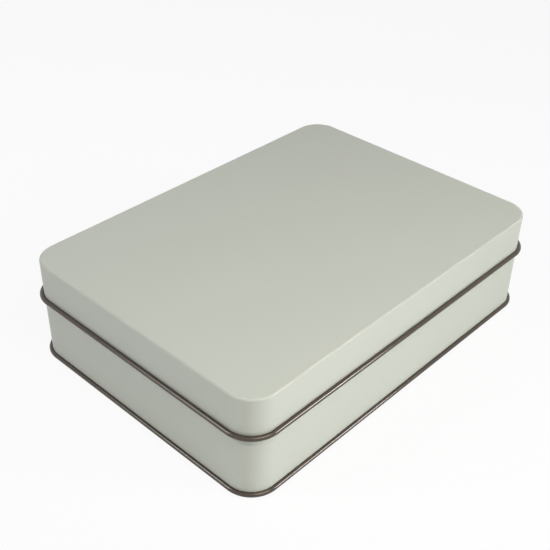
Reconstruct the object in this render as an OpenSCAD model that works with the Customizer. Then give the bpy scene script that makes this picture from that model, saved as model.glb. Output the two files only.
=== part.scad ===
// Flat game tin with a hinged lid, pressed and rolled from thin tinplate.
// Millimetres, +Z up. The origin is the middle of the tin on the table, X runs along the
// hinge side, and the hinge side is at +Y. The lid is drawn closed.
//
// Every rolled or folded edge is one profile, carried round the tin by rim_run().
// A profile's X is the distance outwards from the face of the lid's skirt, its Y is the height.

/* [Tin] */
// Length over the faces of the lid's skirt
tin_length = 200; // [160:1:260]
// Width over the faces of the lid's skirt
tin_width = 144.6; // [110:0.1:200]
// Height of the hinge line, the centre of the lid's rolled rim, above the table
rim_z = 33.6; // [24:0.1:80]
// Outside radius of the four upright corners, on the lid's skirt
corner_r = 12.8; // [8:0.1:24]
// Thickness of the tinplate
sheet_t = 0.28; // [0.22:0.01:0.34]

/* [Lid] */
// Height of the lid's top above the hinge line
lid_rise = 19.6; // [14:0.1:30]
// Outside radius of the lid's rounded top edge
top_edge_r = 1; // [0.6:0.1:4]
// Outside diameter of the lid's rolled rim
rim_d = 2.4; // [2.1:0.1:3]

/* [Body] */
// How far the body's wall stands back from the face of the lid's skirt
wall_inset = 0.1; // [0.05:0.01:0.2]
// Gap between the lid's skirt and the neck that stands inside it
neck_gap = 0.4; // [0.35:0.05:0.8]
// Height of the neck's top above the hinge line
neck_rise = 7.5; // [5:0.1:9]
// Height of the sloping shoulder between the wall and the neck
shoulder_h = 0.7; // [0.5:0.05:1.5]
// Gap between the closed lid's rim and the edge of the shoulder that it sits on
seat_gap = 0.05; // [0.02:0.01:0.2]
// Outside diameter of the inward curl along the neck's top edge
neck_curl_d = 1.8; // [1.2:0.1:2.6]
// Width of the folded side seam in the middle of the back wall
side_seam_w = 5; // [3:0.5:8]

/* [Bottom] */
// Outside diameter of the rolled seam that joins the bottom to the body
seam_d = 2.3; // [1.9:0.1:3]
// How much the seam is flattened where it stands on the table
seam_flat = 0.05; // [0.02:0.01:0.15]
// Height of the bottom panel's underside above the table
bottom_lift = 2; // [1.5:0.1:5]
// Outside radius of the bend at the edge of the bottom panel
bottom_edge_r = 0.8; // [0.5:0.05:0.9]
// Gap between the sheets that nest in the bottom seam
nest_gap = 0.03; // [0.01:0.01:0.08]

/* [Hinges] */
// Distance of each hinge's middle from the tin's end
hinge_inset = 45; // [34:1:54]
// Width of a hinge strap
strap_w = 16; // [8:1:24]
// Length of the strap's flat plate down the back wall
strap_plate_h = 12; // [6:0.5:20]
// Thickness of a hinge strap
strap_t = 0.28; // [0.22:0.01:0.34]
// Diameter of a hinge pin
pin_d = 1.4; // [1:0.05:1.45]
// Gap all round the pin in the strap's loop
pin_play = 0.04; // [0.02:0.01:0.08]
// Length of pin that the rolled rim holds at each side of a strap
pin_hold = 8; // [4:0.5:12]
// Gap between a strap and the cut-out for it in the lid
cutout_gap = 0.4; // [0.3:0.05:1]

/* [Hidden] */
$fn = 64;

coat = [0.76, 0.77, 0.73];
lacquer = [0.33, 0.28, 0.25];
steel = [0.6, 0.6, 0.61];

// The tin's plan: half sizes and the straight length between the corner arcs.
half_length = tin_length / 2;
half_width = tin_width / 2;
span_x = tin_length - 2 * corner_r;
span_y = tin_width - 2 * corner_r;

// Lid: heights, and the rim's centre outwards from the skirt's face, where the rolled
// sheet comes back to the skirt.
lid_top = rim_z + lid_rise;
rim_r = rim_d / 2;
rim_out = rim_r - sheet_t;
skirt_bottom = rim_z + rim_r;

// Body: the outer faces of the wall and the neck, and the shoulder's lower edge, which
// the closed rim's round underside sits on.
wall_face = -wall_inset;
neck_face = -sheet_t - neck_gap;
shoulder_z = rim_z - sqrt(pow(rim_r + seat_gap, 2) - pow(rim_out + wall_inset, 2));
shoulder_slope = atan2(wall_face - neck_face, shoulder_h);
bend_drop = sheet_t * tan(shoulder_slope / 2);
neck_curl_r = neck_curl_d / 2;
neck_curl_z = rim_z + neck_rise - neck_curl_r;

// Side seam: the hooked ends lie four sheets thick, the outermost being the wall itself,
// and their solid starts halfway through that one.
side_seam_t = 4 * sheet_t;
side_seam_root = sheet_t / 2;

// Bottom seam: the body's flange is curled inside the bottom's rolled edge.
seam_r = seam_d / 2;
seam_reach = 2 * seam_r;
seam_z = seam_r - seam_flat;
flange_r = seam_r - sheet_t - nest_gap;
seam_out = wall_face - sheet_t + flange_r;
chuck_face = wall_face - sheet_t - nest_gap;
bottom_top = bottom_lift + sheet_t;
side_seam_bottom = bottom_top + nest_gap;
side_seam_top = shoulder_z - 2 * bend_drop;

// Hinges: the strap's loop round the pin, and the cut-out for it in skirt and rim, which
// clears the rim on every side by the rim's own radius.
hinge_x = half_length - hinge_inset;
loop_r = pin_d / 2 + pin_play + strap_t;
loop_face = rim_out - loop_r;
plate_bottom = shoulder_z - strap_plate_h;
cutout_w = strap_w + 2 * cutout_gap;
cutout_top = skirt_bottom + cutout_gap;
cutout_bottom = rim_z - 2 * rim_r;
cutout_reach = rim_out + 2 * rim_r;
pin_length = cutout_w + 2 * pin_hold;

// ---------- plan and profiles ----------

// A flat rounded rectangle, inset from the skirt's face.
module plan(inset) {
    round_r = corner_r - inset;
    square([tin_length - 2 * inset, span_y], center = true);
    square([span_x, tin_width - 2 * inset], center = true);
    for (x = [-1, 1], y = [-1, 1])
        translate([x * span_x / 2, y * span_y / 2])
            circle(round_r);
}

// A profile drawn straight for a length, facing +X, with its zero at a distance from the middle.
module straight_run(length, reach) {
    translate([reach, length / 2, 0])
        rotate([90, 0, 0])
            linear_extrude(length)
                children();
}

// A profile carried along part of the back wall, centred on a place along X.
module back_run(length, x) {
    translate([x, 0, 0])
        rotate([0, 0, 90])
            straight_run(length, half_width)
                children();
}

// A profile carried all the way round the tin: four straight sides and four corner arcs.
module rim_run() {
    for (turn = [0, 180])
        rotate([0, 0, turn]) {
            straight_run(span_y, half_length) children();
            rotate([0, 0, 90]) straight_run(span_x, half_width) children();
            translate([span_x / 2, span_y / 2, 0])
                rotate_extrude(angle = 90)
                    translate([corner_r, 0])
                        children();
            translate([-span_x / 2, span_y / 2, 0])
                rotate([0, 0, 90])
                    rotate_extrude(angle = 90)
                        translate([corner_r, 0])
                            children();
        }
}

// Three quarters of a rolled sheet edge. The open quarter is the one towards +X and +Y, turned by the angle.
module open_curl(radius, sheet, turn) {
    rotate(turn)
        difference() {
            circle(radius);
            circle(radius - sheet);
            square(2 * radius);
        }
}

// A sheet that stands up at a face and bends inwards through a quarter circle at its top.
module pressed_edge(face, bottom, top, bend_r) {
    translate([face - sheet_t, bottom])
        square([sheet_t, top - bend_r - bottom]);
    translate([face - bend_r, top - bend_r])
        intersection() {
            difference() {
                circle(bend_r);
                circle(bend_r - sheet_t);
            }
            square(2 * bend_r);
        }
}

// The flat sheet that fills the middle of a pressed edge.
module pressed_panel(face, top, bend_r) {
    translate([0, 0, top - sheet_t])
        linear_extrude(sheet_t)
            plan(bend_r - face);
}

// ---------- lid ----------

module rolled_rim_profile() {
    difference() {
        union() {
            translate([rim_out, rim_z]) circle(rim_r);
            translate([-sheet_t, rim_z]) square([sheet_t, rim_r]);
        }
        translate([rim_out, rim_z]) circle(rim_r - sheet_t);
    }
}

// The openings that let the two hinge straps reach the pins.
module hinge_cutouts() {
    for (side = [-1, 1])
        back_run(cutout_w, side * hinge_x)
            translate([neck_face, cutout_bottom])
                square([cutout_reach - neck_face, cutout_top - cutout_bottom]);
}

module lid_shell() {
    color(coat)
        difference() {
            union() {
                rim_run() pressed_edge(0, skirt_bottom, lid_top, top_edge_r);
                pressed_panel(0, lid_top, top_edge_r);
            }
            hinge_cutouts();
        }
}

module lid_rim() {
    color(lacquer)
        difference() {
            rim_run() rolled_rim_profile();
            hinge_cutouts();
        }
}

// ---------- body ----------

module wall_profile() {
    polygon([
        [wall_face, seam_z],
        [wall_face, shoulder_z],
        [neck_face, shoulder_z + shoulder_h],
        [neck_face, neck_curl_z],
        [neck_face - sheet_t, neck_curl_z],
        [neck_face - sheet_t, shoulder_z + shoulder_h - bend_drop],
        [wall_face - sheet_t, shoulder_z - bend_drop],
        [wall_face - sheet_t, seam_z]
    ]);
    translate([neck_face - neck_curl_r, neck_curl_z]) open_curl(neck_curl_r, sheet_t, -90);
    translate([seam_out, seam_z]) open_curl(flange_r, sheet_t, 90);
}

// The two ends of the wall's sheet, hooked together and pressed flat on the inside.
module side_seam_profile() {
    translate([wall_face - side_seam_t, side_seam_bottom])
        square([side_seam_t - side_seam_root, side_seam_top - side_seam_bottom]);
}

module body_wall() {
    color(coat)
        union() {
            rim_run() wall_profile();
            back_run(side_seam_w, 0) side_seam_profile();
        }
}

module seam_profile() {
    difference() {
        translate([seam_out, seam_z])
            difference() {
                circle(seam_r);
                circle(seam_r - sheet_t);
            }
        translate([wall_face + nest_gap - seam_reach, seam_z]) square(seam_reach);
        translate([seam_out - seam_reach, -seam_reach]) square([2 * seam_reach, seam_reach]);
    }
    pressed_edge(chuck_face, seam_z, bottom_top, bottom_edge_r);
}

module bottom_panel() {
    color(lacquer)
        union() {
            rim_run() seam_profile();
            pressed_panel(chuck_face, bottom_top, bottom_edge_r);
        }
}

// ---------- hinges ----------

module loop_profile() {
    translate([rim_out, rim_z]) open_curl(loop_r, strap_t, 180);
}

module plate_profile() {
    polygon([
        [loop_face, rim_z],
        [loop_face + strap_t, rim_z],
        [wall_face + strap_t, shoulder_z],
        [wall_face + strap_t, plate_bottom],
        [wall_face, plate_bottom],
        [wall_face, shoulder_z]
    ]);
}

module hinge_strap(side) {
    color(steel)
        union() {
            back_run(strap_w, side * hinge_x) loop_profile();
            back_run(strap_w, side * hinge_x) plate_profile();
        }
}

module hinge_pin(side) {
    color(steel)
        translate([side * hinge_x, half_width + rim_out, rim_z])
            rotate([0, 90, 0])
                cylinder(d = pin_d, h = pin_length, center = true);
}

lid_shell();
lid_rim();
hinge_pin(-1);  // hinge_pin_left
hinge_pin(1);  // hinge_pin_right
body_wall();
bottom_panel();
hinge_strap(-1);  // hinge_strap_left
hinge_strap(1);  // hinge_strap_right
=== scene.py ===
import math

import bmesh
import bpy
from mathutils import Matrix, Vector


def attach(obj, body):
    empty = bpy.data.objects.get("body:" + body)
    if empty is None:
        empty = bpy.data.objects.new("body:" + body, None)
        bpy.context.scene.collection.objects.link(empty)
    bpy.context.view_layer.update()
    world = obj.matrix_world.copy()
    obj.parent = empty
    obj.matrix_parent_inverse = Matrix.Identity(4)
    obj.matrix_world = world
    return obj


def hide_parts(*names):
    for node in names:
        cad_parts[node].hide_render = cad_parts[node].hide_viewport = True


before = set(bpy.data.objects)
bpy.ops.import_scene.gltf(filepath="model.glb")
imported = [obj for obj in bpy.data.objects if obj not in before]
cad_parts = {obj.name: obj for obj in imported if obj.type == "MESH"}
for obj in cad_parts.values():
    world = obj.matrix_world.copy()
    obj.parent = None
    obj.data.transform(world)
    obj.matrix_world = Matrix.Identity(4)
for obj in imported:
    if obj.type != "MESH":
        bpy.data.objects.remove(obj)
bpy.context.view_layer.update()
scene = bpy.context.scene
mm = 0.001
touching = 1e-7            # in metres: nearer than this, two places are one
print("frame loaded")


# the camera stands as the photograph was taken: from the front left and above
cameraSetup = {
    "place": (-0.280733, -0.251125, 0.296187),
    "azimuth": -47.0471,
    "elevation": 35.4579,
    "roll": 1.0493,
    "lens": 61.1067,
    "sensor": 36,
    "nearest": 0.01,
}


def addCamera(setup):
    turn, lift, roll = (math.radians(setup[k]) for k in ("azimuth", "elevation", "roll"))
    back = Vector((math.sin(turn) * math.cos(lift), -math.cos(turn) * math.cos(lift), math.sin(lift)))
    right = (-back).cross(Vector((0, 0, 1))).normalized()
    up = right.cross(-back)
    rolledRight = right * math.cos(roll) + up * math.sin(roll)
    rolledUp = up * math.cos(roll) - right * math.sin(roll)
    camera = bpy.data.objects.new("photoCamera", bpy.data.cameras.new("photoCamera"))
    facing = Matrix((rolledRight, rolledUp, back)).transposed().to_4x4()
    camera.matrix_world = Matrix.Translation(setup["place"]) @ facing
    camera.data.lens = setup["lens"]
    camera.data.sensor_width = setup["sensor"]
    camera.data.clip_start = setup["nearest"]
    scene.collection.objects.link(camera)
    scene.camera = camera


addCamera(cameraSetup)
print("camera placed")


def feed(tree, node, inputs):
    # each input takes a plain value or another node's output
    for label, given in inputs.items():
        if isinstance(given, bpy.types.NodeSocket):
            tree.links.new(given, node.inputs[label])
        else:
            node.inputs[label].default_value = given


def newNode(tree, kind, inputs, **settings):
    node = tree.nodes.new(kind)
    for setting, value in settings.items():
        setattr(node, setting, value)
    feed(tree, node, inputs)
    return node


def newGroup(name, kind, ins, outs):
    # an empty node group with named inputs and outputs
    tree = bpy.data.node_groups.new(name, kind)
    for side, sockets in (("INPUT", ins), ("OUTPUT", outs)):
        for label, socket in sockets.items():
            tree.interface.new_socket(label, in_out=side, socket_type="NodeSocket" + socket)
    return tree, tree.nodes.new("NodeGroupInput").outputs, tree.nodes.new("NodeGroupOutput")


def mathNode(tree, kind, a, b):
    return newNode(tree, "ShaderNodeMath", {0: a, 1: b}, operation=kind).outputs[0]


def noiseNode(tree, vector, scale, detail, roughness=0.5):
    return newNode(tree, "ShaderNodeTexNoise", {
        "Vector": vector, "Scale": scale, "Detail": detail, "Roughness": roughness}).outputs["Fac"]


def rangeNode(tree, value, span, toLow=0.0, toHigh=1.0):
    return newNode(tree, "ShaderNodeMapRange", {
        "Value": value, "From Min": span[0], "From Max": span[1],
        "To Min": toLow, "To Max": toHigh}).outputs["Result"]


def mixColour(tree, factor, first, second):
    ends = [(*end, 1) if isinstance(end, tuple) else end for end in (first, second)]
    return newNode(tree, "ShaderNodeMix", {
        "Factor": factor, "A": ends[0], "B": ends[1]}, data_type="RGBA").outputs["Result"]


def seenWhite(tree):
    # 1 for what the camera sees directly, in a gloss or through glass
    path = tree.nodes.new("ShaderNodeLightPath").outputs
    first = mathNode(tree, "MAXIMUM", path["Is Camera Ray"], path["Is Glossy Ray"])
    return mathNode(tree, "MAXIMUM", first, path["Is Transmission Ray"])


# soft studio light in an even pale room: a strip low at the front right, a larger one high at the
# back left, and a square lamp close above the front
lightSetup = {
    "room": (0.28, 0.28, 0.289),
    "lamps": {
        "rightStrip": {"at": (0.564, -0.977, 0.440), "aim": (-0.16, -0.09, 0.03), "size": (0.34, 0.22),
                       "power": 0.72, "spread": 60, "colour": (0.97, 1.0, 1.07)},
        "leftStrip": {"at": (-0.793, 0.515, 0.769), "aim": (-0.10, 0.0, 0.03), "size": (0.35, 0.6),
                      "power": 3.7, "spread": 180, "colour": (0.965, 1.0, 1.06)},
        "nearLamp": {"at": (-0.10, -0.340, 0.450), "aim": (-0.06, -0.04, 0.05), "size": (0.3, 0.3),
                     "power": 1.15, "spread": 180, "colour": (1.05, 1.03, 0.90)},
    },
}


def addLamp(name, spec):
    light = bpy.data.lights.new(name, "AREA")
    light.shape = "RECTANGLE"
    light.size, light.size_y = spec["size"]
    light.energy = spec["power"]
    light.color = spec["colour"]
    light.spread = math.radians(spec["spread"])
    lamp = bpy.data.objects.new(name, light)
    lamp.location = spec["at"]
    lamp.rotation_euler = (Vector(spec["aim"]) - lamp.location).to_track_quat("-Z", "Y").to_euler()
    scene.collection.objects.link(lamp)


def paleRoom(colour):
    # the room lights the tin evenly in its own colour and is seen as white
    world = bpy.data.worlds.new("paleRoom")
    scene.world = world
    world.use_nodes = True
    tree = world.node_tree
    feed(tree, tree.nodes["Background"], {"Color": mixColour(tree, seenWhite(tree), colour, (1, 1, 1))})


paleRoom(lightSetup["room"])
for lampName, lampSpec in lightSetup["lamps"].items():
    addLamp(lampName, lampSpec)
print("room lit")


mottlePlan = {
    "cloudDetail": 3.0,
    "skinDetail": 1.0,
    "cloudShare": 0.7,     # of each in how the gloss changes over the surface
    "skinShare": 0.3,
    "patchSpan": (0.35, 0.65),
}


def makeMottle():
    # broad cloudiness of a coat of paint or lacquer, with the fine skin of one that has dried
    group, given, end = newGroup(
        "Coat Mottle", "ShaderNodeTree",
        {"Vector": "Vector", "Cloud Scale": "Float", "Skin Scale": "Float",
         "Gloss Low": "Float", "Gloss High": "Float"},
        {"Cloud": "Float", "Roughness": "Float", "Skin": "Float"})
    cloud = noiseNode(group, given["Vector"], given["Cloud Scale"], mottlePlan["cloudDetail"])
    skin = noiseNode(group, given["Vector"], given["Skin Scale"], mottlePlan["skinDetail"])
    patch = mathNode(group, "ADD", mathNode(group, "MULTIPLY", cloud, mottlePlan["cloudShare"]),
                     mathNode(group, "MULTIPLY", skin, mottlePlan["skinShare"]))
    rough = rangeNode(group, patch, mottlePlan["patchSpan"], given["Gloss Low"], given["Gloss High"])
    feed(group, end, {"Cloud": cloud, "Roughness": rough, "Skin": skin})
    return group


rubPlan = {
    "directions": (0.35, -0.9),
    "lineDetail": 2.0,
    "lineSpan": (0.68, 0.78),
    "patchScale": 45.0,
    "patchDetail": 1.0,
    "patchSpan": (0.5, 0.62),
}


def makeHairlines():
    # sparse hairline rubs in two directions, as on sheet that has been stacked and handled
    group, given, end = newGroup(
        "Hairline Rubs", "ShaderNodeTree",
        {"Vector": "Vector", "Fineness": "Float", "Length": "Float", "Amount": "Float"},
        {"Rubs": "Float"})
    lines = []
    for angle in rubPlan["directions"]:
        turned = newNode(group, "ShaderNodeVectorRotate", {"Vector": given["Vector"], "Angle": angle},
                         rotation_type="Z_AXIS")
        stretch = newNode(group, "ShaderNodeCombineXYZ", {
            "X": given["Length"], "Y": given["Fineness"], "Z": given["Fineness"]})
        scaled = newNode(group, "ShaderNodeVectorMath", {
            0: turned.outputs["Vector"], 1: stretch.outputs["Vector"]}, operation="MULTIPLY")
        streaks = noiseNode(group, scaled.outputs["Vector"], 1.0, rubPlan["lineDetail"])
        lines.append(rangeNode(group, streaks, rubPlan["lineSpan"]))
    found = mathNode(group, "MAXIMUM", *lines)
    cloud = noiseNode(group, given["Vector"], rubPlan["patchScale"], rubPlan["patchDetail"])
    patches = rangeNode(group, cloud, rubPlan["patchSpan"])
    shown = mathNode(group, "MULTIPLY", mathNode(group, "MULTIPLY", found, patches), given["Amount"])
    feed(group, end, {"Rubs": shown})
    return group


mottle = makeMottle()
hairlines = makeHairlines()


def newFinish(name):
    # a material with its surface and the place on the piece that patterns read
    material = bpy.data.materials.new(name)
    material.use_nodes = True
    tree = material.node_tree
    where = tree.nodes.new("ShaderNodeTexCoord").outputs["Object"]
    return material, tree, tree.nodes["Principled BSDF"], where


def placeMottle(tree, where, look):
    low, high = look["gloss"]
    return newNode(tree, "ShaderNodeGroup", {
        "Vector": where, "Cloud Scale": look["cloudScale"], "Skin Scale": look["skinScale"],
        "Gloss Low": low, "Gloss High": high}, node_tree=mottle).outputs


def bumped(tree, height, distance):
    return newNode(tree, "ShaderNodeBump", {
        "Height": height, "Distance": distance, "Strength": 1.0}).outputs["Normal"]


outerCoatLook = {
    "light": (0.606, 0.622, 0.554),
    "dark": (0.584, 0.600, 0.532),
    "cloudScale": 22.0,
    "skinScale": 1400.0,
    "skinHeight": 0.000004,
    "gloss": (0.57, 0.62),
    "shine": 0.14,
}


def outerCoatFinish(look):
    # satin off-white coating
    material, tree, surface, where = newFinish("outerCoat")
    coat = placeMottle(tree, where, look)
    feed(tree, surface, {
        "Base Color": mixColour(tree, coat["Cloud"], look["dark"], look["light"]),
        "Roughness": coat["Roughness"],
        "Specular IOR Level": look["shine"],
        "Normal": bumped(tree, coat["Skin"], look["skinHeight"])})
    return material


lacquerLook = {
    "light": (0.054, 0.040, 0.031),
    "dark": (0.038, 0.028, 0.022),
    "worn": (0.22, 0.20, 0.18),
    "cloudScale": 60.0,
    "skinScale": 1100.0,
    "skinHeight": 0.000003,
    "rubFineness": 2600.0,
    "rubLength": 35.0,
    "rubAmount": 0.5,
    "gloss": (0.08, 0.12),
    "shine": 0.7,
    "tint": (1.0, 0.915, 0.80),
}


def lacquerFinish(look):
    # glossy dark bronze lacquer over tinplate: the sheet's other face
    material, tree, surface, where = newFinish("bareSheet")
    coat = placeMottle(tree, where, look)
    rubs = newNode(tree, "ShaderNodeGroup", {
        "Vector": where, "Fineness": look["rubFineness"], "Length": look["rubLength"],
        "Amount": look["rubAmount"]}, node_tree=hairlines).outputs["Rubs"]
    base = mixColour(tree, coat["Cloud"], look["dark"], look["light"])
    feed(tree, surface, {
        "Base Color": mixColour(tree, rubs, base, look["worn"]),
        "Roughness": coat["Roughness"],
        "Specular IOR Level": look["shine"],
        "Specular Tint": (*look["tint"], 1),
        "Normal": bumped(tree, coat["Skin"], look["skinHeight"])})
    return material


hingeSteelLook = {
    "light": (0.34, 0.332, 0.322),
    "dark": (0.22, 0.216, 0.21),
    "cloudScale": 160.0,
    "skinScale": 2600.0,
    "grainScale": (120.0, 6000.0, 6000.0),
    "grainDetail": 3.0,
    "grainRoughness": 0.6,
    "grainShare": 0.6,     # of the grain and of the clouds in how the tone changes
    "cloudShare": 0.4,
    "grainHeight": 0.000004,
    "gloss": (0.30, 0.44),
}


def hingeSteelFinish(look):
    # rolled steel, slightly dulled, its grain across the strap
    material, tree, surface, where = newFinish("hingeSteel")
    stretched = newNode(tree, "ShaderNodeMapping", {"Vector": where, "Scale": look["grainScale"]})
    grain = noiseNode(tree, stretched.outputs["Vector"], 1.0, look["grainDetail"], look["grainRoughness"])
    coat = placeMottle(tree, where, look)
    tone = mathNode(tree, "ADD", mathNode(tree, "MULTIPLY", grain, look["grainShare"]),
                    mathNode(tree, "MULTIPLY", coat["Cloud"], look["cloudShare"]))
    feed(tree, surface, {
        "Base Color": mixColour(tree, tone, look["dark"], look["light"]),
        "Roughness": coat["Roughness"],
        "Metallic": 1.0,
        "Normal": bumped(tree, grain, look["grainHeight"])})
    return material


outerCoat = outerCoatFinish(outerCoatLook)
bareSheet = lacquerFinish(lacquerLook)
hingeSteel = hingeSteelFinish(hingeSteelLook)
print("finishes made")


# what every rolled or folded edge shares, in millimetres as all the sizes that follow
tinPlan = {
    "length": 200.0,       # over the faces of the lid's skirt
    "width": 144.6,
    "cornerRadius": 12.8,
    "cornerSteps": 22,
    "sheet": 0.28,
    "innerShare": 0.75,    # a face with more of its points than this on the inner side is lacquered
}
backFace = tinPlan["width"] / 2
sheet = tinPlan["sheet"]


def carryTree():
    # a profile carried round the tin's plan: the profile's X points outwards, its Y down
    tree, given, end = newGroup(
        "Profile Round The Tin", "GeometryNodeTree",
        {"Profile": "Geometry", "Length": "Float", "Width": "Float", "Corner Radius": "Float",
         "Corner Steps": "Int", "Outside Finish": "Material", "Inside Finish": "Material"},
        {"Ring": "Geometry"})
    plan = newNode(tree, "GeometryNodeCurvePrimitiveQuadrilateral", {
        "Width": given["Length"], "Height": given["Width"]})
    corners = newNode(tree, "GeometryNodeFilletCurve", {
        "Curve": plan.outputs["Curve"], "Radius": given["Corner Radius"], "Count": given["Corner Steps"]},
        mode="POLY")
    profile = newNode(tree, "GeometryNodeMeshToCurve", {"Mesh": given["Profile"]})
    carry = newNode(tree, "GeometryNodeCurveToMesh", {
        "Curve": corners.outputs["Curve"], "Profile Curve": profile.outputs["Curve"]})
    smooth = newNode(tree, "GeometryNodeSetShadeSmooth", {"Geometry": carry.outputs["Mesh"]})
    real = newNode(tree, "GeometryNodeRealizeInstances", {"Geometry": smooth.outputs["Geometry"]})
    outside = newNode(tree, "GeometryNodeSetMaterial", {
        "Geometry": real.outputs["Geometry"], "Material": given["Outside Finish"]})
    inner = newNode(tree, "GeometryNodeInputNamedAttribute", {"Name": "innerFace"}, data_type="FLOAT")
    isInner = newNode(tree, "FunctionNodeCompare", {
        "A": inner.outputs["Attribute"], "B": tinPlan["innerShare"]},
        data_type="FLOAT", operation="GREATER_THAN")
    inside = newNode(tree, "GeometryNodeSetMaterial", {
        "Geometry": outside.outputs["Geometry"], "Selection": isInner.outputs["Result"],
        "Material": given["Inside Finish"]})
    feed(tree, end, {"Ring": inside.outputs["Geometry"]})
    return tree


carryRound = carryTree()


def setInputs(modifier, values):
    ids = {item.name: item.identifier for item in modifier.node_group.interface.items_tree
           if item.item_type == "SOCKET" and item.in_out == "INPUT"}
    for label, value in values.items():
        modifier[ids[label]] = value


def onCircle(x, y, radius, angle):
    turn = math.radians(angle)
    return x + radius * math.cos(turn), y + radius * math.sin(turn)


def arc(x, y, radius, fromAngle, toAngle, steps):
    return [onCircle(x, y, radius, fromAngle + (toAngle - fromAngle) * k / steps) for k in range(steps + 1)]


def linked(name, mesh):
    made = bpy.data.objects.new(name, mesh)
    scene.collection.objects.link(made)
    return made


def fromWork(name, work, *finishes):
    # an object from a mesh in the making, which is let go
    mesh = bpy.data.meshes.new(name)
    work.to_mesh(mesh)
    work.free()
    for finish in finishes:
        mesh.materials.append(finish)
    return linked(name, mesh)


def plainMesh(source, name):
    # the mesh as its modifiers leave it
    graph = bpy.context.evaluated_depsgraph_get()
    mesh = bpy.data.meshes.new_from_object(
        source.evaluated_get(graph), preserve_all_data_layers=True, depsgraph=graph)
    mesh.name = name
    return mesh


def ringFrom(name, runs, closed):
    # runs: profile points in order round the sheet's section, X outwards from the skirt's face and
    # Y up, each run marked as the sheet's inner face or not
    points, marks = [], []
    for run, isInner in runs:
        points += run
        marks += [float(isInner)] * len(run)
    mesh = bpy.data.meshes.new(name + "Profile")
    count = len(points)
    edges = [(k, k + 1) for k in range(count - 1)] + ([(count - 1, 0)] if closed else [])
    mesh.from_pydata([(x * mm, -y * mm, 0) for x, y in points], edges, [])
    mesh.attributes.new("innerFace", "FLOAT", "POINT").data.foreach_set("value", marks)
    source = linked(name + "Profile", mesh)
    modifier = source.modifiers.new("carry", "NODES")
    modifier.node_group = carryRound
    setInputs(modifier, {
        "Length": tinPlan["length"] * mm, "Width": tinPlan["width"] * mm,
        "Corner Radius": tinPlan["cornerRadius"] * mm, "Corner Steps": tinPlan["cornerSteps"],
        "Outside Finish": outerCoat, "Inside Finish": bareSheet})
    ring = linked(name, plainMesh(source, name))
    bpy.data.objects.remove(source)
    return ring


def fillEnds(source, splitHeight, upperFinish, lowerFinish):
    # closes a ring's two free edges with flat sheet
    names = [m.name for m in source.data.materials]
    work = bmesh.new()
    work.from_mesh(source.data)
    made = bmesh.ops.holes_fill(work, edges=[e for e in work.edges if e.is_boundary], sides=0)["faces"]
    for face in made:
        above = face.calc_center_median().z > splitHeight * mm
        face.material_index = names.index((upperFinish if above else lowerFinish).name)
        if (face.normal.z > 0) != above:
            face.normal_flip()
    work.to_mesh(source.data)
    work.free()


def cutBoxes(source, boxes):
    # boxes: (low corner, high corner) in millimetres, taken out of the piece
    work = bmesh.new()
    for low, high in boxes:
        made = bmesh.ops.create_cube(work, size=1)["verts"]
        size = Vector(high) - Vector(low)
        middle = (Vector(high) + Vector(low)) / 2
        bmesh.ops.scale(work, vec=size * mm, verts=made)
        bmesh.ops.translate(work, vec=middle * mm, verts=made)
    cutter = fromWork("cutter", work)
    cut = source.modifiers.new("cut", "BOOLEAN")
    cut.operation = "DIFFERENCE"
    cut.solver = "EXACT"
    cut.object = cutter
    plain = plainMesh(source, source.name)
    source.modifiers.remove(cut)
    source.data = plain
    bpy.data.objects.remove(cutter)


def finished(source, name, body, nodes, crispAngle=32):
    # smooth round the bends and crisp at the cut edges, as a plain mesh that rides on its body
    source.data.shade_smooth()
    source.data.set_sharp_from_angle(angle=math.radians(crispAngle))
    weigh = source.modifiers.new("weigh", "WEIGHTED_NORMAL")
    weigh.mode = "FACE_AREA"
    weigh.weight = 50
    weigh.keep_sharp = True
    piece = linked(name, plainMesh(source, name))
    bpy.data.objects.remove(source)
    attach(piece, body)
    if nodes:
        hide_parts(*nodes)


hinge = {
    "height": 33.6,
    "outwards": 0.92,      # of the hinge line from the skirt's face
    "places": (-55.0, 55.0),
    "strapWidth": 16.0,
    "openingGap": 0.4,     # round the strap's loop
    "openingDepth": 0.68,
    "openingReach": 3.0,
}
lid = {
    "top": 53.2,
    "skirtBottom": 34.8,
    "edgeRadius": 1.0,
    "edgeSteps": 12,
    "hold": 0.4,           # flat left beside a bend before the long faces start
}


def hingeOpenings():
    half = hinge["strapWidth"] / 2 + hinge["openingGap"]
    top = lid["skirtBottom"] + hinge["openingGap"]
    low = hinge["height"] - 2 * rim["radius"]
    front, back = backFace - hinge["openingDepth"], backFace + hinge["openingReach"]
    return [((x - half, front, low), (x + half, back, top)) for x in hinge["places"]]


def makeLidShell():
    top, bend, hold, steps = lid["top"], lid["edgeRadius"], lid["hold"], lid["edgeSteps"]
    outside = [(-bend - hold, top)] + arc(-bend, top - bend, bend, 90, 0, steps)
    outside += [(0, top - bend - hold), (0, lid["skirtBottom"])]
    inside = [(-sheet, lid["skirtBottom"]), (-sheet, top - bend - hold)]
    inside += arc(-bend, top - bend, bend - sheet, 0, 90, steps) + [(-bend - hold, top - sheet)]
    shell = ringFrom("lidShellRing", [(outside, False), (inside, True)], False)
    fillEnds(shell, top - sheet / 2, outerCoat, bareSheet)
    cutBoxes(shell, hingeOpenings())
    finished(shell, "lidShell", "lid", ["lid_shell"])


rim = {
    "radius": 1.2,
    "endAngle": 490.0,     # where the roll's edge comes back to the skirt
    "steps": 30,
    "edgeBulge": 6.0,      # degrees by which the cut edge's middle goes on
}


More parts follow.
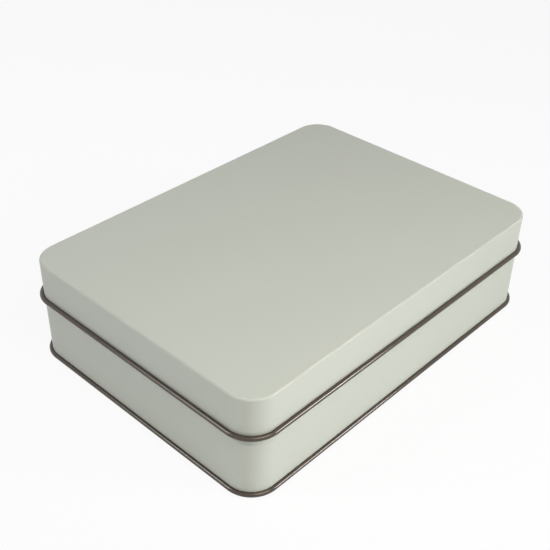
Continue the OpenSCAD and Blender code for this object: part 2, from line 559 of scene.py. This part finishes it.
def makeLidRim():
    # the lid's lower edge, rolled outwards so that the sheet's inner face shows
    x, y, radius, last = hinge["outwards"], hinge["height"], rim["radius"], rim["endAngle"]
    cutEdge = [onCircle(x, y, radius - sheet / 2, last + rim["edgeBulge"])]
    outside = [(0, lid["skirtBottom"]), (0, y)]
    outside += arc(x, y, radius - sheet, 180, last, rim["steps"])[1:]
    inside = arc(x, y, radius, last, 180, rim["steps"]) + [(-sheet, lid["skirtBottom"])]
    roll = ringFrom("lidRimRing", [(outside, False), (cutEdge, True), (inside, True)], True)
    cutBoxes(roll, hingeOpenings())
    finished(roll, "lidRim", "lid", ["lid_rim"], crispAngle=50)


makeLidShell()
makeLidRim()
print("lid made")


wall = {
    "face": -0.1,
    "neckFace": -0.68,
    "shoulderLow": 32.88,
    "shoulderHigh": 33.58,
    "bendDrop": 0.1,       # of the shoulder's inner bends
    "neckCurlRadius": 0.9,
    "neckCurlHeight": 40.2,
    "rollSteps": 24,       # of the neck's curl and of the flange
    "seamOut": 0.46,       # centre of the rolls at the foot
    "seamHeight": 1.1,
    "flangeRadius": 0.84,
    "hold": 0.3,
}
sideSeam = {
    "width": 5.0,          # the folded seam in the middle of the back
    "top": 32.7,
    "bottom": 2.31,
    "grooveWidth": 0.14,
    "grooveDepth": 0.1,
    "grooveReach": 1.0,
    "sunk": 0.1,           # into the wall
    "step": 0.12,          # from one fold to the next
    "rounding": 0.3,       # of a fold, in sheets
    "tuck": 0.2,
}
cornerMark = {
    "high": 30.1,          # a faint ledge that pressing the shoulder leaves across each corner
    "low": 28.0,
    "depth": 0.36,
    "crest": 0.45,         # how far down it stands out most
    "steps": 12,
}


def markLevels():
    high, low, steps = cornerMark["high"], cornerMark["low"], cornerMark["steps"]
    return [high + (low - high) * k / steps for k in range(steps + 1)]


def pressCorners(ring):
    across, along = (tinPlan[side] / 2 - tinPlan["cornerRadius"] for side in ("length", "width"))
    high, low, crest = cornerMark["high"], cornerMark["low"], cornerMark["crest"]
    for vertex in ring.data.vertices:
        down = (high - vertex.co.z / mm) / (high - low)
        out = Vector((abs(vertex.co.x) / mm - across, abs(vertex.co.y) / mm - along))
        if not 0 < down < 1 or min(out) <= 0:
            continue
        part = down / crest if down < crest else (1 - down) / (1 - crest)
        swell = part * part * (3 - 2 * part) * math.sin(2 * math.atan2(out.y, out.x)) ** 2
        push = out.normalized() * cornerMark["depth"] * swell * mm
        vertex.co.x += math.copysign(push.x, vertex.co.x)
        vertex.co.y += math.copysign(push.y, vertex.co.y)


def grooveBox():
    # the outer fold of the side seam shows as a fine upright groove
    left, outer = sideSeam["width"] / 2, backFace + wall["face"]
    return ((left, outer - sideSeam["grooveDepth"], sideSeam["bottom"]),
            (left + sideSeam["grooveWidth"], outer + sideSeam["grooveReach"],
             wall["shoulderLow"] - wall["hold"]))


def makeBodyWall():
    face, neck, hold, steps = wall["face"], wall["neckFace"], wall["hold"], wall["rollSteps"]
    curl, curlHeight = wall["neckCurlRadius"], wall["neckCurlHeight"]
    flange, out, low = wall["flangeRadius"], wall["seamOut"], wall["seamHeight"]
    shoulderLow, shoulderHigh, drop = wall["shoulderLow"], wall["shoulderHigh"], wall["bendDrop"]
    outside = arc(neck - curl, curlHeight, curl, 270, 0, steps)
    outside += [(neck, curlHeight - hold), (neck, shoulderHigh + hold), (neck, shoulderHigh)]
    outside += [(face, shoulderLow), (face, shoulderLow - hold)]
    outside += [(face, z) for z in markLevels()] + [(face, low + hold)]
    outside += arc(out, low, flange - sheet, 180, 450, steps)
    inside = arc(out, low, flange, 450, 180, steps)
    inside += [(face - sheet, low + hold)] + [(face - sheet, z) for z in reversed(markLevels())]
    inside += [(face - sheet, shoulderLow - drop), (neck - sheet, shoulderHigh - drop)]
    inside += [(neck - sheet, curlHeight - hold)]
    inside += arc(neck - curl, curlHeight, curl - sheet, 0, 270, steps)
    ring = ringFrom("bodyWallRing", [(outside, False), (inside, True)], True)
    pressCorners(ring)
    cutBoxes(ring, [grooveBox()])
    finished(ring, "bodyWall", "tin_body", ["body_wall"])


def makeSideSeam():
    # hooked ends pressed flat on the wall's inside: three sheets, each with a rounded fold
    half, low, high = sideSeam["width"] / 2, sideSeam["bottom"], sideSeam["top"]
    step, rounding, tuck = sideSeam["step"], sideSeam["rounding"], sideSeam["tuck"]
    inner = backFace + wall["face"] - sheet
    folds = [(-half, 1 - rounding), (-half + step, 1), (-half + step, 3 - rounding), (-half + 2 * step, 3),
             (half - 3 * step, 3), (half - 2 * step, 3 - rounding), (half - 2 * step, 1 + tuck), (half, 1)]
    outline = [(x, inner - sheet * sheets) for x, sheets in folds]
    outline = [(-half, inner + sideSeam["sunk"])] + outline + [(half, inner + sideSeam["sunk"])]
    work = bmesh.new()
    base = work.faces.new([work.verts.new((x * mm, y * mm, low * mm)) for x, y in outline])
    grown = bmesh.ops.extrude_face_region(work, geom=[base])["geom"]
    rise = [g for g in grown if isinstance(g, bmesh.types.BMVert)]
    bmesh.ops.translate(work, vec=(0, 0, (high - low) * mm), verts=rise)
    bmesh.ops.recalc_face_normals(work, faces=work.faces)
    finished(fromWork("sideSeamStrip", work, bareSheet), "sideSeam", "tin_body", [])


bottom = {
    "rollRadius": 1.15,
    "rollSteps": 40,
    "rollInnerSteps": 36,
    "edgeGap": 0.04,       # from the roll's free edge to the wall's face
    "edgeBulge": 5.0,
    "gap": 0.03,           # to the wall's inside
    "lift": 2.0,
    "bendRadius": 0.8,
    "bendSteps": 10,
    "hold": 0.4,
}


def makeBottomPanel():
    # a raised panel whose edge is rolled round the wall's flange, flat where the tin stands on it
    x, y, radius = wall["seamOut"], wall["seamHeight"], bottom["rollRadius"]
    face, upper = wall["face"] - sheet - bottom["gap"], bottom["lift"] + sheet
    bend, hold, steps = bottom["bendRadius"], bottom["hold"], bottom["bendSteps"]
    last = 360 + math.degrees(math.acos((wall["face"] + bottom["edgeGap"] - x) / radius))
    outer = [(px, max(py, 0.0)) for px, py in arc(x, y, radius, last, 180, bottom["rollSteps"])]
    edge = [onCircle(x, y, radius - sheet / 2, last + bottom["edgeBulge"])]
    inner = arc(x, y, radius - sheet, 180, last, bottom["rollInnerSteps"])
    top = [(face - bend - hold, upper)] + arc(face - bend, upper - bend, bend, 90, 0, steps)
    under = arc(face - bend, upper - bend, bend - sheet, 0, 90, steps)
    under += [(face - bend - hold, bottom["lift"])]
    panel = ringFrom("bottomRing", [(top + inner, True), (edge, True), (outer + under, True)], False)
    fillEnds(panel, upper - sheet / 2, bareSheet, bareSheet)
    finished(panel, "bottomPanel", "tin_body", ["bottom_panel"], crispAngle=50)


makeBodyWall()
makeSideSeam()
makeBottomPanel()
print("body made")


weld = {
    "count": 2,
    "spacing": 8.0,
    "height": 26.4,
    "depth": 0.09,
    "ballRadius": 14.0,    # of the ball that presses a mark
    "ballSegments": 96,
    "ballRings": 192,
}


def weldTree():
    # round spot-weld marks pressed into a face, in a row
    tree, given, end = newGroup(
        "Spot Weld Marks", "GeometryNodeTree",
        {"Plate": "Geometry", "Count": "Int", "Spacing": "Float", "Middle": "Vector",
         "Ball Radius": "Float", "Finish": "Material"},
        {"Plate": "Geometry"})
    rowLength = mathNode(tree, "MULTIPLY", mathNode(tree, "SUBTRACT", given["Count"], 1), given["Spacing"])
    shift = newNode(tree, "ShaderNodeCombineXYZ", {"X": mathNode(tree, "MULTIPLY", rowLength, -0.5)})
    first = newNode(tree, "ShaderNodeVectorMath", {
        0: shift.outputs["Vector"], 1: given["Middle"]}, operation="ADD")
    step = newNode(tree, "ShaderNodeCombineXYZ", {"X": given["Spacing"]})
    row = newNode(tree, "GeometryNodeMeshLine", {
        "Count": given["Count"], "Start Location": first.outputs["Vector"],
        "Offset": step.outputs["Vector"]}, mode="OFFSET")
    ball = newNode(tree, "GeometryNodeMeshUVSphere", {
        "Segments": weld["ballSegments"], "Rings": weld["ballRings"], "Radius": given["Ball Radius"]})
    spread = newNode(tree, "GeometryNodeInstanceOnPoints", {
        "Points": row.outputs["Mesh"], "Instance": ball.outputs["Mesh"]})
    balls = newNode(tree, "GeometryNodeRealizeInstances", {"Geometry": spread.outputs["Instances"]})
    press = newNode(tree, "GeometryNodeMeshBoolean", {
        "Mesh 1": given["Plate"], "Mesh 2": balls.outputs["Geometry"]}, operation="DIFFERENCE")
    real = newNode(tree, "GeometryNodeRealizeInstances", {"Geometry": press.outputs["Mesh"]})
    finish = newNode(tree, "GeometryNodeSetMaterial", {
        "Geometry": real.outputs["Geometry"], "Material": given["Finish"]})
    feed(tree, end, {"Plate": finish.outputs["Geometry"]})
    return tree


weldMarks = weldTree()
strap = {
    "sheet": 0.28,
    "loopRadius": 1.02,
    "loopSteps": 30,
    "plateBottom": 20.88,
    "plateCorner": 1.6,
    "plateCornerSteps": 8,
    "holdDrop": 1.2,       # of a point held on the plate's outer face, below the shoulder
}


def strapOutline():
    # the strap from its side: up the wall's face, over the pin and three quarters round it
    out, height, radius = hinge["outwards"], hinge["height"], strap["loopRadius"]
    thick, face, steps = strap["sheet"], wall["face"], strap["loopSteps"]
    low, shoulder = strap["plateBottom"], wall["shoulderLow"]
    outerSide = [(face + thick, low), (face + thick, shoulder - strap["holdDrop"])]
    innerRound = arc(out, height, radius - thick, 180, -90, steps)
    outerRound = arc(out, height, radius, -90, 180, steps)
    innerSide = [(face, shoulder), (face, low)]
    return outerSide + innerRound + outerRound + innerSide


def strapSolid(name, x):
    half, low = hinge["strapWidth"] / 2, strap["plateBottom"] * mm
    section = strapOutline()
    work = bmesh.new()
    left, right = ([work.verts.new(((x + across) * mm, (backFace + u) * mm, z * mm)) for u, z in section]
                   for across in (-half, half))
    for k in range(len(section)):
        after = (k + 1) % len(section)
        work.faces.new((left[k], left[after], right[after], right[k]))
    work.faces.new(left)
    work.faces.new(right)
    bmesh.ops.recalc_face_normals(work, faces=work.faces)
    lowEdges = [e for e in work.edges
                if all(abs(v.co.z - low) < touching for v in e.verts)
                and abs(e.verts[0].co.x - e.verts[1].co.x) < touching]
    bmesh.ops.bevel(work, geom=lowEdges, offset=strap["plateCorner"] * mm,
                    segments=strap["plateCornerSteps"], profile=0.5, affect="EDGES")
    return fromWork(name, work)


def makeStrap(name, x, node):
    source = strapSolid(name + "Sheet", x)
    marks = source.modifiers.new("welds", "NODES")
    marks.node_group = weldMarks
    outerFace = backFace + wall["face"] + strap["sheet"]
    setInputs(marks, {
        "Count": weld["count"], "Spacing": weld["spacing"] * mm,
        "Middle": (x * mm, (outerFace + weld["ballRadius"] - weld["depth"]) * mm, weld["height"] * mm),
        "Ball Radius": weld["ballRadius"] * mm, "Finish": hingeSteel})
    source.data = plainMesh(source, name)
    source.modifiers.clear()
    finished(source, name, "tin_body", [node], crispAngle=25)


pin = {
    "radius": 0.7,
    "length": 32.8,
    "chamfer": 0.12,
    "hold": 1.0,
    "steps": 32,
}


def makePin(name, x, node):
    # a cut length of wire with its ends just broken
    radius, half, chamfer, hold = pin["radius"], pin["length"] / 2, pin["chamfer"], pin["hold"]
    y, z = backFace + hinge["outwards"], hinge["height"]
    oneEnd = [(-half, 0.0), (-half, radius - chamfer), (-half + chamfer, radius), (-half + hold, radius)]
    stations = oneEnd + [(-along, r) for along, r in reversed(oneEnd)]
    work = bmesh.new()
    line = [work.verts.new(((x + along) * mm, y * mm, (z + r) * mm)) for along, r in stations]
    path = [work.edges.new(pair) for pair in zip(line, line[1:])]
    bmesh.ops.spin(work, geom=line + path, angle=2 * math.pi, steps=pin["steps"], use_merge=True,
                   use_duplicate=False, cent=(0, y * mm, z * mm), axis=(1, 0, 0))
    bmesh.ops.remove_doubles(work, verts=work.verts, dist=touching)
    bmesh.ops.recalc_face_normals(work, faces=work.faces)
    finished(fromWork(name + "Wire", work, hingeSteel), name, "lid", [node])


for side, x in zip(("Left", "Right"), hinge["places"]):
    makeStrap("hingeStrap" + side, x, "hinge_strap_" + side.lower())
    makePin("hingePin" + side, x, "hinge_pin_" + side.lower())
print("hinges made")


floorLook = {
    "light": (0.885, 0.885, 0.88),
    "dark": (0.865, 0.865, 0.86),
    "grainScale": 14.0,
    "grainDetail": 3.0,
    "roughness": 0.9,
    "shine": 0.1,
    "whiteShare": 0.9,     # of plain white in what is seen; the rest keeps the tin's soft shadow
    "reach": 4.0,          # in metres from the middle
}


def floorFinish(look):
    # pale matt table that is near white to the eye
    material, tree, surface, where = newFinish("paleTable")
    grain = noiseNode(tree, where, look["grainScale"], look["grainDetail"])
    feed(tree, surface, {
        "Base Color": mixColour(tree, grain, look["dark"], look["light"]),
        "Roughness": look["roughness"],
        "Specular IOR Level": look["shine"]})
    glow = tree.nodes.new("ShaderNodeEmission")
    blend = newNode(tree, "ShaderNodeMixShader", {
        "Fac": mathNode(tree, "MULTIPLY", seenWhite(tree), look["whiteShare"]),
        1: surface.outputs["BSDF"], 2: glow.outputs["Emission"]})
    feed(tree, tree.nodes["Material Output"], {"Surface": blend.outputs["Shader"]})
    return material


def addFloor(look):
    reach = look["reach"]
    work = bmesh.new()
    corners = [work.verts.new((x * reach, y * reach, 0)) for x, y in ((-1, -1), (1, -1), (1, 1), (-1, 1))]
    work.faces.new(corners)
    floor = fromWork("floor", work, floorFinish(look))


addFloor(floorLook)
scene.view_settings.view_transform = "Standard"
